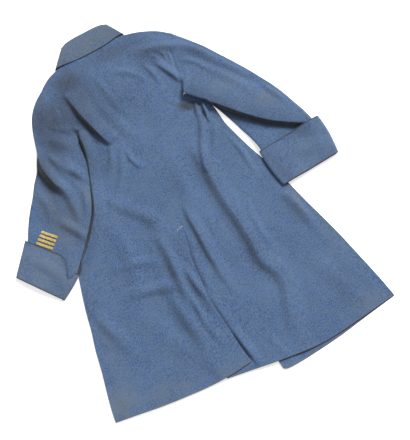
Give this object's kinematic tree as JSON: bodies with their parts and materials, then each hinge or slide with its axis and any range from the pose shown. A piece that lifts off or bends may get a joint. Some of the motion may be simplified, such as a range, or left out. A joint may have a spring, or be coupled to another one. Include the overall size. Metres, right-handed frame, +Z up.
{
  "type": "uniform coat",
  "caption": "Heavy wool uniform greatcoat laid flat, back upwards, with a turn-down collar, set-in sleeves, deep turned-back cuffs, back vent and gold rank bars.",
  "frame": {"origin": "middle of the spread coat's outline, on the surface that it lies on", "axes": "+Z up from the surface, +Y along the centre back towards the collar, +X to the coat's right side"},
  "size_m": [1.0355, 1.2202, 0.0274],
  "materials": {
    "wool": "milled horizon blue wool, matt",
    "collar_wool": "milled wool, a little paler and worn",
    "gold_braid": "woven gold wire lace, satin"
  },
  "bodies": {
    "root": {"front_left": "wool", "front_right": "wool", "back_left": "wool", "back_right": "wool", "sleeve_left": "wool", "sleeve_right": "wool", "cuff_left": "wool", "cuff_right": "wool", "collar": "collar_wool", "braid_1": "gold_braid", "braid_2": "gold_braid", "braid_3": "gold_braid", "braid_4": "gold_braid"}
  },
  "joints": []
}
